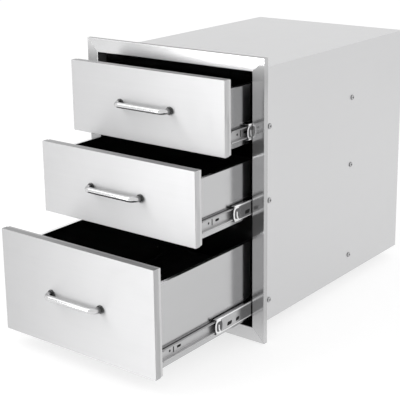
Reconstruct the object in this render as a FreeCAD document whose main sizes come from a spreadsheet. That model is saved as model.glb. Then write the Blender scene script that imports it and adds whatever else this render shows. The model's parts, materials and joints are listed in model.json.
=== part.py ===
import FreeCAD, Part
import math
import os
import re

import Sketcher

# Three-drawer stainless unit that is built into the front of an outdoor kitchen island.
# X runs to the right as one faces the drawers, Y runs back into the island, Z runs up.
# The origin is on the underside of the cabinet, midway along its front edge, in the plane
# of the island's face, where the installer starts measuring the cut-out.
# The drawers stand open by different amounts, and every slide is drawn to match.

doc = FreeCAD.newDocument("drawer_unit")
sizes = doc.addObject("Spreadsheet::Sheet", "sizes")
layout = doc.addObject("Spreadsheet::Sheet", "layout")

# Driving dimensions, in millimetres, with what each one is.
SIZES = {
    "frame_width": (457, "face frame, left to right"),
    "frame_height": (584, "face frame, top to bottom"),
    "rail_width": (29, "visible width of each rail and stile"),
    "frame_depth": (12, "how far the frame stands out from the island"),
    "frame_sheet": (1.2, "sheet of the face frame"),
    "lip_width": (10, "back lip that seats on the island"),
    "collar_length": (15, "part of the frame that reaches into the cabinet"),
    "cabinet_depth": (597, "cabinet behind the island's face"),
    "cabinet_sheet": (1.0, "sheet of the cabinet"),
    "back_flange": (12, "rim of the back panel"),
    "front_thickness": (20, "drawer front, face to back"),
    "front_sheet": (1.0, "sheet of the drawer fronts"),
    "skin_return": (13, "depth of the folded edge of the skin"),
    "fold_radius": (1.4, "outside of a folded corner"),
    "face_radius": (1.0, "edge round the face of a front"),
    "small_front": (149, "height of the top and middle fronts"),
    "side_gap": (3, "gap beside a closed front"),
    "end_gap": (3, "gap above the top front and below the bottom one"),
    "middle_gap": (4, "gap between two fronts"),
    "tray_sheet": (1.0, "sheet of the trays"),
    "tray_depth": (525, "tray, front to back"),
    "tray_flange": (9, "rolled top edge of a tray side"),
    "small_tray_drop": (22, "top of a small front down to its tray"),
    "small_tray_lift": (9, "bottom of a small front up to its tray"),
    "large_tray_drop": (37, "top of the large front down to its tray"),
    "large_tray_lift": (11, "bottom of the large front up to its tray"),
    "slide_width": (12.7, "space that a slide takes beside the tray"),
    "slide_sheet": (1.2, "steel of the slide members"),
    "slide_height": (42, "outer member, over its flanges"),
    "slide_fold": (2.4, "outside of a slide member's folds"),
    "slide_length": (500, "outer member"),
    "slide_gap": (2, "frame collar to the outer member"),
    "outer_reach": (9.7, "outer member, wall to free edge"),
    "middle_reach": (8.7, "middle member, web to free edge"),
    "inner_reach": (8.2, "inner member, web to free edge"),
    "web_gap": (1.0, "between the outer and middle webs"),
    "slide_lip": (1.0, "hook at the free edge of a flange"),
    "middle_length": (480, "middle member"),
    "middle_setback": (2, "closed middle member behind the outer one"),
    "nose_bulge": (3, "rounded front end of the middle member"),
    "first_slot": (34, "middle member's front end to its first slot"),
    "first_slot_length": (18, "first slot in the middle member"),
    "second_slot": (63, "middle member's front end to its second slot"),
    "second_slot_length": (14, "second slot in the middle member"),
    "slot_height": (7.5, "both slots in the middle member"),
    "slot_drop": (4.7, "both slots below the middle of their member"),
    "slot_slant": (3, "how far both slots lean"),
    "slot_rounding": (2, "corners of both slots"),
    "inner_setback": (3, "front panel to the inner member"),
    "inner_length": (498, "inner member"),
    "round_hole_at": (26, "inner member's front end to its round hole"),
    "round_hole": (5, "round hole in the inner member"),
    "tall_slot_at": (37, "inner member's front end to its upright slot"),
    "tall_slot_length": (3, "upright slot in the inner member, front to back"),
    "tall_slot_height": (14, "upright slot in the inner member, top to bottom"),
    "long_slot_at": (53, "inner member's front end to its long slot"),
    "long_slot_length": (12, "long slot in the inner member, front to back"),
    "long_slot_height": (5, "long slot in the inner member, top to bottom"),
    "ball_diameter": (3.9, "bearing ball"),
    "ball_clearance": (0.05, "ball to race, each side"),
    "cage_sheet": (0.4, "ball retainer strip"),
    "cage_length": (206, "ball retainer strip"),
    "cage_margin": (0.7, "strip beyond a ball's hole"),
    "ball_pitch": (32, "ball to ball along a retainer"),
    "small_slide_lift": (35, "bottom of a small front up to its slides"),
    "large_slide_lift": (39, "bottom of the large front up to its slides"),
    "travel": (490, "full extension"),
    "top_opening": (84, "how far the top drawer stands open at rest"),
    "middle_opening": (177, "how far the middle drawer stands open at rest"),
    "bottom_opening": (299, "how far the bottom drawer stands open at rest"),
    "wall_screw_setback": (28, "outer member's front end to its first screw"),
    "wall_screw_spacing": (323, "first screw to rear screw"),
    "tray_screw_setback": (200, "inner member's front end to its first screw"),
    "tray_screw_spacing": (240, "first screw to rear screw"),
    "screw_shank": (4, "slide screw shank diameter"),
    "screw_head": (11, "slide screw head diameter"),
    "screw_head_height": (2.6, "slide screw head"),
    "thread_clearance": (0.05, "screw to its hole, each side"),
    "handle_bar": (12, "handle bar diameter"),
    "handle_centres": (128, "handle leg to leg"),
    "handle_reach": (25, "front face to the outside of the bar"),
    "handle_bend": (15, "centre line radius of the handle's bends"),
    "handle_foot": (16, "diameter of the collar under each leg"),
    "handle_foot_height": (3, "collar under each leg"),
    "handle_screw": (4, "handle screw shank diameter"),
    "handle_screw_grip": (9, "length of a handle screw inside its leg"),
    "drill_allowance": (1, "hole in a handle's leg beyond the tip of its screw"),
    "front_screw_inset": (16, "front screws in from the tray's sides"),
    "front_screw_margin": (14, "front screws in from the tray's top and bottom"),
    "drawer_screw_length": (4, "screws that hold a tray to its front and its slides"),
}

# Sizes that follow from the driving ones.
LAYOUT = {
    "opening_width": "frame_width - 2 * rail_width",
    "opening_height": "frame_height - 2 * rail_width",
    "cabinet_width": "opening_width + 2 * frame_sheet + 2 * cabinet_sheet",
    "cabinet_height": "opening_height + 2 * frame_sheet + 2 * cabinet_sheet",
    "inner_wall": "cabinet_width / 2 - cabinet_sheet",
    "sill": "frame_sheet + cabinet_sheet",
    "frame_bottom": "sill - rail_width",
    "front_width": "opening_width - 2 * side_gap",
    "large_front": "opening_height - 2 * small_front - 2 * middle_gap - 2 * end_gap",
    "bottom_front_z": "sill + end_gap",
    "middle_front_z": "bottom_front_z + large_front + middle_gap",
    "top_front_z": "middle_front_z + small_front + middle_gap",
    "tray_half": "inner_wall - slide_width",
    "small_tray": "small_front - small_tray_drop - small_tray_lift",
    "large_tray": "large_front - large_tray_drop - large_tray_lift",
    "race": "ball_diameter + 2 * ball_clearance",
    "middle_height": "slide_height - 2 * slide_sheet - 2 * race",
    "inner_height": "middle_height - 2 * slide_sheet - 2 * race",
    "outer_web": "slide_width - slide_sheet",
    "middle_web": "outer_web - web_gap - slide_sheet",
    "middle_edge": "middle_web + slide_sheet - middle_reach",
    "outer_edge": "slide_width - outer_reach",
    "slide_front": "collar_length + slide_gap",
    "closed_middle": "slide_front + middle_setback",
    "closed_face": "-frame_depth",
    "closed_inner": "closed_face + front_thickness + inner_setback",
    "outer_cage_y": "(slide_front + closed_middle + middle_length) / 2",
    "inner_cage_y": "(closed_middle + closed_inner + inner_length) / 2",
    "screw_hole": "screw_shank / 2 + thread_clearance",
    "handle_hole": "handle_screw / 2 + thread_clearance",
}

# What differs from drawer to drawer, as names of sizes.
DRAWERS = {
    name: (
        f"{kind}_front", f"{name}_front_z", f"{kind}_tray_lift",
        f"{kind}_tray", f"{kind}_slide_lift", f"{name}_opening",
    )
    for name, kind in (("top", "small"), ("middle", "small"), ("bottom", "large"))
}
SIDES = {"left": -1, "right": 1}
ACROSS = {"XY_Plane": 2, "XZ_Plane": 1, "YZ_Plane": 0}

# How far each slide piece moves as a share of its drawer: a strip of rolling balls keeps
# halfway between the two members that it runs between.
MIDDLE_SHARE = 0.5
CAGE_SHARES = {"outer": MIDDLE_SHARE / 2, "inner": (1 + MIDDLE_SHARE) / 2}

# Where the outside of the upper hook comes in a channel's list of corners, and how much of a
# slot's narrow side its corner rounding takes.
HOOK_IN, HOOK_OUT = 1, 4
NEARLY_ROUND = 0.45
nodes = []


# Sheets and formulas


def linked(formula):
    """Puts the sheet's name in front of each size that a formula names."""

    def with_sheet(match):
        word = match.group(0)
        if word in SIZES:
            return f"sizes.{word}"
        if word in LAYOUT:
            return f"layout.{word}"
        return word

    return re.sub(r"[a-z][a-z_]*", with_sheet, str(formula))


def fill_sheets():
    """Writes both sheets: plain numbers in one, formulas that use them in the other."""
    for row, (alias, (number, words)) in enumerate(SIZES.items(), start=1):
        sizes.set(f"A{row}", words)
        sizes.set(f"B{row}", str(number))
        sizes.setAlias(f"B{row}", alias)
    for row, (alias, formula) in enumerate(LAYOUT.items(), start=1):
        layout.set(f"A{row}", alias.replace("_", " "))
        layout.set(f"B{row}", "=" + linked(formula).replace("layout.", ""))
        layout.setAlias(f"B{row}", alias)
    doc.recompute()


def value(formula):
    """The number that a formula comes to."""
    return float(sizes.evalExpression(linked(formula)))


def bind(thing, **formulas):
    """Sets properties of an object to formulas."""
    for name, formula in formulas.items():
        thing.setExpression(name, linked(formula))


def place(thing, x="0", y="0", z="0"):
    """Sets where an object stands, by formula."""
    for name, formula in (("x", x), ("y", y), ("z", z)):
        thing.setExpression(f"Placement.Base.{name}", linked(formula))


# Sketches and features


def new_body(label):
    """A body that is one piece of the unit."""
    body = doc.addObject("PartDesign::Body", label)
    body.Label = label
    nodes.append(body)
    return body


def new_sketch(body, role, offset=None):
    """A sketch on one of the body's own planes, or on a plane beside it."""
    sketch = body.newObject("Sketcher::SketchObject", "outline")
    plane = next(item for item in body.Origin.OriginFeatures if item.Role == role)
    sketch.AttachmentSupport = [(plane, "")]
    sketch.MapMode = "FlatFace"
    if offset is not None:
        sketch.setExpression("AttachmentOffset.Base.z", linked(offset))
    return sketch


def hold(sketch, kind, geometry, point, formula):
    """Holds one coordinate of a point of the sketch to a formula."""
    index = sketch.addConstraint(Sketcher.Constraint(kind, -1, 1, geometry, point, value(formula)))
    sketch.setExpression(f"Constraints[{index}]", linked(formula))


def draw_outline(sketch, corners):
    """A closed outline of straight lines, each corner given by two formulas."""
    first = sketch.GeometryCount
    count = len(corners)
    points = [FreeCAD.Vector(value(across), value(up), 0) for across, up in corners]
    for number in range(count):
        sketch.addGeometry(Part.LineSegment(points[number], points[(number + 1) % count]), False)
    for number in range(count):
        after = first + (number + 1) % count
        sketch.addConstraint(Sketcher.Constraint("Coincident", first + number, 2, after, 1))
    for number, (across, up) in enumerate(corners):
        hold(sketch, "DistanceX", first + number, 1, across)
        hold(sketch, "DistanceY", first + number, 1, up)


def draw_circle(sketch, across, up, radius):
    """A circle, given by three formulas."""
    centre = FreeCAD.Vector(value(across), value(up), 0)
    index = sketch.addGeometry(Part.Circle(centre, FreeCAD.Vector(0, 0, 1), value(radius)), False)
    hold(sketch, "DistanceX", index, 3, across)
    hold(sketch, "DistanceY", index, 3, up)
    number = sketch.addConstraint(Sketcher.Constraint("Radius", index, value(radius)))
    sketch.setExpression(f"Constraints[{number}]", linked(radius))


def rectangle(low, high):
    """The four corners between two opposite ones."""
    return [low, (high[0], low[1]), high, (low[0], high[1])]


def pad(body, sketch, length, backwards=False, both_ways=False):
    """Thickens a sketch into a solid."""
    feature = body.newObject("PartDesign::Pad", "pad")
    feature.Profile = sketch
    feature.Reversed = backwards
    feature.SideType = "Symmetric" if both_ways else "One side"
    bind(feature, Length=length)
    doc.recompute()


def cut_through(body, sketch):
    """Cuts a sketch's outlines right through the body, both ways, and makes sure that it bites."""
    before = body.Tip.Shape.Volume
    feature = body.newObject("PartDesign::Pocket", "cut")
    feature.Profile = sketch
    feature.SideType = "Symmetric"
    feature.Type = "ThroughAll"
    doc.recompute()
    if not feature.Shape.Volume < before:
        raise RuntimeError(f"{body.Label}: a cut removed nothing")


def cut_pocket(body, sketch, depth, backwards):
    """Cuts a sketch's outlines to a depth, and makes sure that it bites."""
    before = body.Tip.Shape.Volume
    feature = body.newObject("PartDesign::Pocket", "pocket")
    feature.Profile = sketch
    feature.Reversed = backwards
    bind(feature, Length=depth)
    doc.recompute()
    if not feature.Shape.Volume < before:
        raise RuntimeError(f"{body.Label}: a pocket removed nothing")


def round_folds(body, role, corners, radius):
    """Rounds the edges that run through the given corners of an outline on that plane."""
    along = ACROSS[role]
    spots = [(value(across), value(up)) for across, up in corners]
    names = []
    for number, edge in enumerate(body.Tip.Shape.Edges, start=1):
        ends = [[part for axis, part in enumerate(end.Point) if axis != along] for end in edge.Vertexes]
        if any(all(math.dist(end, spot) < 1e-4 for end in ends) for spot in spots):
            names.append(f"Edge{number}")
    add_fillet(body, names, radius)


def round_rim(body, role, radius):
    """Rounds the edges of the face that lies in that plane."""
    along = ACROSS[role]
    names = []
    for number, edge in enumerate(body.Tip.Shape.Edges, start=1):
        if all(abs(end.Point[along]) < 1e-4 for end in edge.Vertexes):
            names.append(f"Edge{number}")
    add_fillet(body, names, radius)


def add_fillet(body, names, radius):
    """Rounds the named edges of the body."""
    if not names:
        raise RuntimeError(f"{body.Label}: no edge to round")
    base = body.Tip
    feature = body.newObject("PartDesign::Fillet", "fold")
    feature.Base = (base, names)
    bind(feature, Radius=radius)
    doc.recompute()


def cut_rounded(body, corners, radius):
    """Cuts a four-cornered hole through the upright web of a body and rounds its corners."""
    sketch = new_sketch(body, "YZ_Plane")
    draw_outline(sketch, corners)
    cut_through(body, sketch)
    round_folds(body, "YZ_Plane", corners, radius)


def solids_node(label, solids, x="0", y="0", z="0"):
    """One node that holds several separate solids, such as a set of like screws."""
    feature = doc.addObject("Part::Feature", label)
    feature.Label = label
    feature.Shape = Part.makeCompound(solids)
    feature.Placement = FreeCAD.Placement(FreeCAD.Vector(value(x), value(y), value(z)), FreeCAD.Rotation())
    nodes.append(feature)


def pan_screw(seat, direction, shank, length):
    """A pan-head screw with a cross recess: seat is the middle of the face under its head.

    The shares give the shape of a pan head: its rim is upright up to 0.4 of its height, then an
    arc through the shoulder leads to a flat top. The recess is half as wide and half as deep.
    """
    head, height = value("screw_head"), value("screw_head_height")
    rim = FreeCAD.Vector(head / 2, 0, 0.4 * height)
    shoulder = FreeCAD.Vector(0.44 * head, 0, 0.8 * height)
    flat = FreeCAD.Vector(0.3 * head, 0, height)
    corners = [
        flat,
        FreeCAD.Vector(0, 0, height),
        FreeCAD.Vector(0, 0, -length),
        FreeCAD.Vector(shank / 2, 0, -length),
        FreeCAD.Vector(shank / 2, 0, 0),
        FreeCAD.Vector(head / 2, 0, 0),
        rim,
    ]
    edges = [Part.LineSegment(a, b).toShape() for a, b in zip(corners, corners[1:])]
    edges.append(Part.Arc(rim, shoulder, flat).toShape())
    solid = Part.Face(Part.Wire(edges)).revolve(FreeCAD.Vector(), FreeCAD.Vector(0, 0, 1), 360)
    wide, narrow, deep = 0.5 * head, 0.13 * head, 0.5 * height
    for across, along in ((wide, narrow), (narrow, wide)):
        low = FreeCAD.Vector(-across / 2, -along / 2, height - deep)
        solid = solid.cut(Part.makeBox(across, along, height, low))
    turn = FreeCAD.Rotation(FreeCAD.Vector(0, 0, -1), FreeCAD.Vector(*direction))
    solid = solid.Solids[0]
    solid.Placement = FreeCAD.Placement(FreeCAD.Vector(*seat), turn)
    return solid


# Face frame


def frame_member(label, length, angle, x, z):
    """A folded channel, mitred at both ends, drawn as a top rail and then turned into place."""
    body = new_body(label)
    section = [
        ("0", "-lip_width"),
        ("0", "0"),
        ("-frame_depth", "0"),
        ("-frame_depth", "-rail_width"),
        ("collar_length", "-rail_width"),
        ("collar_length", "frame_sheet - rail_width"),
        ("frame_sheet - frame_depth", "frame_sheet - rail_width"),
        ("frame_sheet - frame_depth", "-frame_sheet"),
        ("-frame_sheet", "-frame_sheet"),
        ("-frame_sheet", "-lip_width"),
    ]
    sketch = new_sketch(body, "YZ_Plane")
    draw_outline(sketch, section)
    pad(body, sketch, length, both_ways=True)
    round_folds(body, "YZ_Plane", section[1:4], "fold_radius")
    mitres = new_sketch(body, "XZ_Plane")
    for side in SIDES.values():
        end = f"{side} * ({length}) / 2"
        draw_outline(
            mitres,
            [(end, "0"), (f"{side} * (({length}) / 2 - rail_width)", "-rail_width"), (end, "-rail_width")],
        )
    cut_through(body, mitres)
    body.Placement = FreeCAD.Placement(
        FreeCAD.Vector(), FreeCAD.Rotation(FreeCAD.Vector(0, 1, 0), angle)
    )
    place(body, x=x, z=z)


def face_frame():
    """Two rails and two stiles that meet in mitres."""
    middle = "frame_bottom + frame_height / 2"
    frame_member("frame_top_rail", "frame_width", 0, "0", "frame_bottom + frame_height")
    frame_member("frame_bottom_rail", "frame_width", 180, "0", "frame_bottom")
    frame_member("frame_right_stile", "frame_height", 90, "frame_width / 2", middle)
    frame_member("frame_left_stile", "frame_height", -90, "-frame_width / 2", middle)


# Cabinet


def slide_heights():
    """The height of each drawer's slides."""
    return [f"{front_z} + {slide_lift}" for _, front_z, _, _, slide_lift, _ in DRAWERS.values()]


def wall_screw_places():
    """How far back the slide screws stand."""
    first = "slide_front + wall_screw_setback"
    return [first, f"{first} + wall_screw_spacing"]


def cabinet_side(name, side):
    """A side wall with a hole for each slide screw."""
    body = new_body(f"cabinet_{name}_side")
    sketch = new_sketch(body, "YZ_Plane")
    draw_outline(sketch, rectangle(("0", "0"), ("cabinet_depth", "cabinet_height")))
    pad(body, sketch, "cabinet_sheet", backwards=side > 0)
    holes = new_sketch(body, "YZ_Plane")
    for height in slide_heights():
        for back in wall_screw_places():
            draw_circle(holes, back, height, "screw_hole")
    cut_through(body, holes)
    place(body, x=f"{side} * cabinet_width / 2")


def cabinet_plate(label, z):
    """The top or the bottom of the cabinet, between its sides."""
    body = new_body(label)
    sketch = new_sketch(body, "XY_Plane")
    draw_outline(sketch, rectangle(("-inner_wall", "0"), ("inner_wall", "cabinet_depth")))
    pad(body, sketch, "cabinet_sheet")
    place(body, z=z)


def cabinet_back():
    """A shallow pan that closes the back, its rim turned forward inside the walls."""
    body = new_body("cabinet_back")
    low = ("-inner_wall", "cabinet_sheet")
    high = ("inner_wall", "cabinet_height - cabinet_sheet")
    sketch = new_sketch(body, "XZ_Plane")
    draw_outline(sketch, rectangle(low, high))
    pad(body, sketch, "back_flange", backwards=True)
    hollow = new_sketch(body, "XZ_Plane")
    inner_low = (f"{low[0]} + cabinet_sheet", f"{low[1]} + cabinet_sheet")
    inner_high = (f"{high[0]} - cabinet_sheet", f"{high[1]} - cabinet_sheet")
    draw_outline(hollow, rectangle(inner_low, inner_high))
    cut_pocket(body, hollow, "back_flange - cabinet_sheet", backwards=False)
    place(body, y="cabinet_depth - back_flange")


def wall_screws():
    """The screws that hold the outer members, put in from outside the cabinet."""
    grip = value("cabinet_sheet + slide_sheet")
    solids = []
    for side in SIDES.values():
        for height in slide_heights():
            for back in wall_screw_places():
                seat = (side * value("cabinet_width / 2"), value(back), value(height))
                solids.append(slide_screw(seat, (-side, 0, 0), grip))
    solids_node("cabinet_slide_screws", solids)


def slide_screw(seat, direction, length):
    """One of the small pan-head screws used all over the unit."""
    return pan_screw(seat, direction, value("screw_shank"), length)


# Slides


def channel(side, web, edge, half, hooks_in):
    """Corners of a rolled channel, seen from the front.

    web is the two faces of its web and edge the two faces of the hook at its free edges, as
    distances outwards from the tray's side. half is half its height over the flanges. The hooks
    turn in towards each other, or out.
    """
    outside, inside = web
    free, behind = edge
    under = f"{half} - slide_sheet"
    if hooks_in:
        hook = f"{under} - slide_lip"
        upper = [(outside, half), (free, half), (free, hook), (behind, hook), (behind, under)]
    else:
        hook = f"{half} + slide_lip"
        upper = [(outside, half), (behind, half), (behind, hook), (free, hook), (free, under)]
    upper.append((inside, under))
    lower = [(out, f"-({up})") for out, up in reversed(upper)]
    return [(f"{side} * ({out})", up) for out, up in upper + lower]


def rolled_member(label, section, tip, length, x, y, z):
    """A slide member: its section run back along Y, with rounded folds.

    The folds beside the web are rounded outside and inside. tip is the number of the corner
    on the outside of the upper hook, which is rounded like the lower one.
    """
    body = new_body(label)
    sketch = new_sketch(body, "XZ_Plane")
    draw_outline(sketch, section)
    pad(body, sketch, length, backwards=True)
    lower = len(section) // 2
    round_folds(body, "XZ_Plane", [section[0], section[-1]], "slide_fold")
    round_folds(body, "XZ_Plane", section[lower - 1 : lower + 1], "slide_fold - slide_sheet")
    round_folds(body, "XZ_Plane", [section[tip], section[-1 - tip]], "fold_radius")
    place(body, x=x, y=y, z=z)
    return body


def outer_member(drawer, name, side, z):
    """The member that is screwed to the cabinet wall."""
    edge = ("outer_edge", "outer_edge + slide_sheet")
    section = channel(side, ("slide_width", "outer_web"), edge, "slide_height / 2", True)
    label = f"{drawer}_{name}_slide_outer"
    body = rolled_member(label, section, HOOK_IN, "slide_length", f"{side} * tray_half", "slide_front", z)
    holes = new_sketch(body, "YZ_Plane")
    for back in ("wall_screw_setback", "wall_screw_setback + wall_screw_spacing"):
        draw_circle(holes, back, "0", "screw_hole")
    cut_through(body, holes)


def middle_member(drawer, name, side, opening, z):
    """The member that runs in the outer one, with a rounded nose and two slots."""
    edge = ("middle_edge", "middle_edge + slide_sheet")
    section = channel(side, ("middle_web + slide_sheet", "middle_web"), edge, "middle_height / 2", True)
    label = f"{drawer}_{name}_slide_middle"
    front = f"closed_middle - {MIDDLE_SHARE} * {opening}"
    body = rolled_member(label, section, HOOK_IN, "middle_length", f"{side} * tray_half", front, z)
    nose = new_sketch(body, "YZ_Plane", offset=f"{side} * middle_web")
    draw_nose(nose, "middle_height / 2 - slide_fold", "nose_bulge")
    pad(body, nose, "slide_sheet", backwards=side < 0)
    low, high = "-slot_drop - slot_height / 2", "slot_height / 2 - slot_drop"
    for start in ("first_slot", "second_slot"):
        far = f"{start} + {start}_length"
        corners = [(start, low), (f"{far} - slot_slant", low), (far, high), (f"{start} + slot_slant", high)]
        cut_rounded(body, corners, "slot_rounding")


def draw_nose(sketch, half, bulge):
    """A segment of a circle in front of the line across: half is half its chord."""
    radius = f"(({half}) * ({half}) + {bulge} * {bulge}) / (2 * {bulge})"
    top = FreeCAD.Vector(0, value(half), 0)
    low = FreeCAD.Vector(0, -value(half), 0)
    chord = sketch.addGeometry(Part.LineSegment(low, top), False)
    arc = sketch.addGeometry(Part.Arc(top, FreeCAD.Vector(-value(bulge), 0, 0), low), False)
    for formula, point in ((f"-({half})", 1), (half, 2)):
        hold(sketch, "DistanceX", chord, point, "0")
        hold(sketch, "DistanceY", chord, point, formula)
    arc_ends = {}
    curve = sketch.Geometry[arc]
    for point, spot in ((1, curve.StartPoint), (2, curve.EndPoint)):
        arc_ends[point] = 2 if spot.y > 0 else 1
    for point, chord_end in arc_ends.items():
        sketch.addConstraint(Sketcher.Constraint("Coincident", arc, point, chord, chord_end))
    number = sketch.addConstraint(Sketcher.Constraint("Radius", arc, value(radius)))
    sketch.setExpression(f"Constraints[{number}]", linked(radius))


def inner_member(drawer, name, side, opening, z):
    """The member that is screwed to the tray, with its row of factory holes in front."""
    edge = ("inner_reach", "inner_reach - slide_sheet")
    section = channel(side, ("0", "slide_sheet"), edge, "inner_height / 2", False)
    label = f"{drawer}_{name}_slide_inner"
    front = f"closed_inner - {opening}"
    body = rolled_member(label, section, HOOK_OUT, "inner_length", f"{side} * tray_half", front, z)
    holes = new_sketch(body, "YZ_Plane")
    draw_circle(holes, "round_hole_at", "0", "round_hole / 2")
    for back in ("tray_screw_setback", "tray_screw_setback + tray_screw_spacing"):
        draw_circle(holes, back, "0", "screw_hole")
    cut_through(body, holes)
    for slot, narrow in (("tall_slot", "tall_slot_length"), ("long_slot", "long_slot_height")):
        low = (f"{slot}_at - {slot}_length / 2", f"-{slot}_height / 2")
        high = (f"{slot}_at + {slot}_length / 2", f"{slot}_height / 2")
        cut_rounded(body, rectangle(low, high), f"{NEARLY_ROUND} * {narrow}")


def ball_rows(web, ball_line, row, end):
    """One retainer strip with its balls, on the right-hand side, centred on its own middle.

    web is the strip's distance from the tray, ball_line that of the balls and end that of the
    strip's free edge. row is the height of each row of balls above and below the middle.
    """
    length = value("cage_length")
    sheet = value("cage_sheet")
    pitch = value("ball_pitch")
    radius = value("ball_diameter / 2")
    hole = radius + value("ball_clearance") * 2
    count = int((length - 2 * hole) / pitch) + 1
    starts = [(number - (count - 1) / 2) * pitch for number in range(count)]
    low = FreeCAD.Vector(web - sheet / 2, -length / 2, -row - sheet / 2)
    strip = Part.makeBox(sheet, length, 2 * row + sheet, low)
    balls = []
    for height in (-row, row):
        flange_low = FreeCAD.Vector(end, -length / 2, height - sheet / 2)
        strip = strip.fuse(Part.makeBox(web + sheet / 2 - end, length, sheet, flange_low))
    for height in (-row, row):
        for back in starts:
            foot = FreeCAD.Vector(ball_line, back, height - sheet)
            strip = strip.cut(Part.makeCylinder(hole, 2 * sheet, foot))
            balls.append(Part.makeSphere(radius, FreeCAD.Vector(ball_line, back, height)))
    return [strip.removeSplitter().Solids[0]] + balls


def cages(drawer, kind, web, ball_line, row, opening, z):
    """The left and right ball retainers between two members of a drawer's slides."""
    end = value(f"{ball_line} - ball_diameter / 2 - cage_margin")
    solids = ball_rows(value(web), value(ball_line), value(row), end)
    shift = FreeCAD.Vector(value("tray_half"), 0, 0)
    pair = []
    for solid in solids:
        moved = solid.translated(shift)
        pair.append(moved)
        pair.append(moved.mirror(FreeCAD.Vector(), FreeCAD.Vector(1, 0, 0)))
    back = f"{kind}_cage_y - {CAGE_SHARES[kind]} * {opening}"
    solids_node(f"{drawer}_{kind}_ball_cages", pair, y=back, z=z)


# Drawers


def front_pan(label, inset, depth, opens_back, holes, y, height, z):
    """A folded pan: a plate with its four edges turned, and holes through the plate."""
    body = new_body(label)
    low = (f"{inset} - front_width / 2", inset)
    high = (f"front_width / 2 - {inset}", f"{height} - {inset}")
    sketch = new_sketch(body, "XZ_Plane")
    draw_outline(sketch, rectangle(low, high))
    pad(body, sketch, depth, backwards=True)
    round_folds(body, "XZ_Plane", rectangle(low, high), "fold_radius")
    if opens_back:
        round_rim(body, "XZ_Plane", "face_radius")
    hollow = new_sketch(body, "XZ_Plane", offset=f"-({depth})" if opens_back else None)
    inner_low = (f"{low[0]} + front_sheet", f"{low[1]} + front_sheet")
    inner_high = (f"{high[0]} - front_sheet", f"{high[1]} - front_sheet")
    draw_outline(hollow, rectangle(inner_low, inner_high))
    cut_pocket(body, hollow, f"{depth} - front_sheet", backwards=opens_back)
    drilled = new_sketch(body, "XZ_Plane")
    for across, up, radius in holes:
        draw_circle(drilled, across, up, radius)
    cut_through(body, drilled)
    place(body, y=y, z=z)


def tray_plate(label, half, height, holes, y, z):
    """The front or back wall of a tray, between its sides."""
    body = new_body(label)
    sketch = new_sketch(body, "XZ_Plane")
    draw_outline(sketch, rectangle((f"-({half})", "0"), (half, height)))
    pad(body, sketch, "tray_sheet", backwards=True)
    if holes:
        drilled = new_sketch(body, "XZ_Plane")
        for across, up, radius in holes:
            draw_circle(drilled, across, up, radius)
        cut_through(body, drilled)
    place(body, y=y, z=z)


def tray_shell(drawer, height, slide_z, y, z):
    """One sheet folded into both sides and the floor, with the top edges turned in."""
    body = new_body(f"{drawer}_drawer_tray")
    right = [
        ("tray_half", "0"),
        ("tray_half", height),
        ("tray_half - tray_flange", height),
        ("tray_half - tray_flange", f"{height} - tray_sheet"),
        ("tray_half - tray_sheet", f"{height} - tray_sheet"),
        ("tray_half - tray_sheet", "tray_sheet"),
    ]
    left = [(f"-({across})", up) for across, up in reversed(right)]
    sketch = new_sketch(body, "XZ_Plane")
    draw_outline(sketch, right + left)
    pad(body, sketch, "tray_depth", backwards=True)
    round_folds(body, "XZ_Plane", right[:2] + left[-2:], "fold_radius")
    holes = new_sketch(body, "YZ_Plane")
    for back in ("tray_screw_setback", "tray_screw_setback + tray_screw_spacing"):
        draw_circle(holes, f"inner_setback + {back}", slide_z, "screw_hole")
    cut_through(body, holes)
    place(body, y=y, z=z)


def handle(drawer, y, z):
    """A round bar bent into a bow, with a collar under each leg and a blind hole up each leg."""
    shaft = "handle_reach - handle_bar / 2"
    pieces = []
    drills = []
    for side in SIDES.values():
        leg_x = f"{side} * handle_centres / 2"
        leg = doc.addObject("Part::Cylinder", "handle_leg")
        leg.Placement.Rotation = FreeCAD.Rotation(FreeCAD.Vector(1, 0, 0), 90)
        bind(leg, Radius="handle_bar / 2", Height=f"{shaft} - handle_bend")
        place(leg, x=leg_x)
        collar = doc.addObject("Part::Cylinder", "handle_collar")
        collar.Placement.Rotation = FreeCAD.Rotation(FreeCAD.Vector(1, 0, 0), 90)
        bind(collar, Radius="handle_foot / 2", Height="handle_foot_height")
        place(collar, x=leg_x)
        bend = doc.addObject("Part::Torus", "handle_bend")
        bend.Angle3 = 90
        bend.Placement.Rotation = FreeCAD.Rotation(FreeCAD.Vector(0, 0, 1), -90 if side > 0 else 180)
        bind(bend, Radius1="handle_bend", Radius2="handle_bar / 2")
        place(bend, x=f"{side} * (handle_centres / 2 - handle_bend)", y=f"handle_bend - ({shaft})")
        drill = doc.addObject("Part::Cylinder", "handle_drill")
        drill.Placement.Rotation = FreeCAD.Rotation(FreeCAD.Vector(1, 0, 0), 90)
        bind(drill, Radius="handle_hole", Height="handle_screw_grip + drill_allowance")
        place(drill, x=leg_x)
        pieces += [leg, collar, bend]
        drills.append(drill)
    bar = doc.addObject("Part::Cylinder", "handle_grip")
    bar.Placement.Rotation = FreeCAD.Rotation(FreeCAD.Vector(0, 1, 0), 90)
    bind(bar, Radius="handle_bar / 2", Height="handle_centres - 2 * handle_bend")
    place(bar, x="handle_bend - handle_centres / 2", y=f"-({shaft})")
    bow = doc.addObject("Part::MultiFuse", "handle_bow")
    bow.Shapes = pieces + [bar]
    bow.Refine = True
    holes = doc.addObject("Part::MultiFuse", "handle_holes")
    holes.Shapes = drills
    body = doc.addObject("Part::Cut", f"{drawer}_drawer_handle")
    body.Label = f"{drawer}_drawer_handle"
    body.Base = bow
    body.Tool = holes
    place(body, y=y, z=z)
    nodes.append(body)


def front_screw_places(height, lift, tray):
    """Where the four screws that join a front to its tray stand, above the front's bottom edge."""
    half = "tray_half - front_screw_inset"
    low = f"{lift} + front_screw_margin"
    high = f"{lift} + {tray} - front_screw_margin"
    return [(f"{side} * ({half})", up) for side in SIDES.values() for up in (low, high)]


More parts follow.
